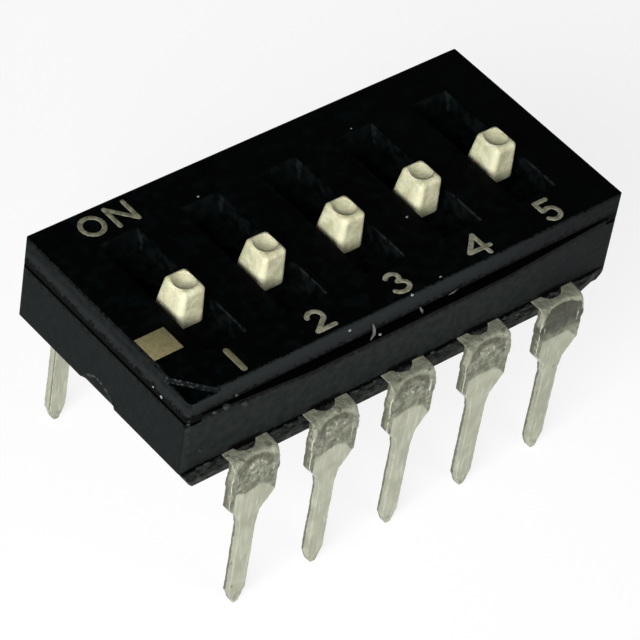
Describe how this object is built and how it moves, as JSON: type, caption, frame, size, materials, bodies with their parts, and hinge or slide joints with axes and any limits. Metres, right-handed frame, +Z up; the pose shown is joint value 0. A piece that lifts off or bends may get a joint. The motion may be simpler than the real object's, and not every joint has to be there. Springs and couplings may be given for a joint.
{
  "type": "dip switch",
  "caption": "Small black slide DIP switch for through-hole boards, with a row of cream knobs in sunken slots and tinned, shouldered leads along both long sides.",
  "frame": {"origin": "middle of the lead pattern, on the board's top face where the leads' shoulders stop", "axes": "+X along the row of switches from switch 1 to 5, +Y towards the ON side, +Z up out of the cover"},
  "size_m": [0.0142, 0.0078, 0.0084],
  "materials": {
    "base_moulding": "glass-filled moulding, fine matt grain, slightly grey",
    "cover_moulding": "black moulding, satin, darker than the base",
    "slide_moulding": "cream moulding, smooth satin",
    "tinned_lead": "copper alloy strip dipped in tin, uneven satin",
    "spring_strip": "thin gilded spring strip"
  },
  "bodies": {
    "housing": {"base": "base_moulding", "cover": "cover_moulding", "terminal_1": "tinned_lead", "terminal_2": "tinned_lead", "terminal_3": "tinned_lead", "terminal_4": "tinned_lead", "terminal_5": "tinned_lead", "terminal_6": "tinned_lead", "terminal_7": "tinned_lead", "terminal_8": "tinned_lead", "terminal_9": "tinned_lead", "terminal_10": "tinned_lead"},
    "switch_1": {"slider_1": "slide_moulding", "contact_1": "spring_strip"},
    "switch_2": {"slider_2": "slide_moulding", "contact_2": "spring_strip"},
    "switch_3": {"slider_3": "slide_moulding", "contact_3": "spring_strip"},
    "switch_4": {"slider_4": "slide_moulding", "contact_4": "spring_strip"},
    "switch_5": {"slider_5": "slide_moulding", "contact_5": "spring_strip"}
  },
  "joints": [
    {"name": "slide_1", "type": "slide", "parent": "housing", "child": "switch_1", "axis": [0, 1, 0], "range_m": [0, 0.001]},
    {"name": "slide_2", "type": "slide", "parent": "housing", "child": "switch_2", "axis": [0, 1, 0], "range_m": [0, 0.001]},
    {"name": "slide_3", "type": "slide", "parent": "housing", "child": "switch_3", "axis": [0, 1, 0], "range_m": [0, 0.001]},
    {"name": "slide_4", "type": "slide", "parent": "housing", "child": "switch_4", "axis": [0, 1, 0], "range_m": [0, 0.001]},
    {"name": "slide_5", "type": "slide", "parent": "housing", "child": "switch_5", "axis": [0, 1, 0], "range_m": [0, 0.001]}
  ]
}
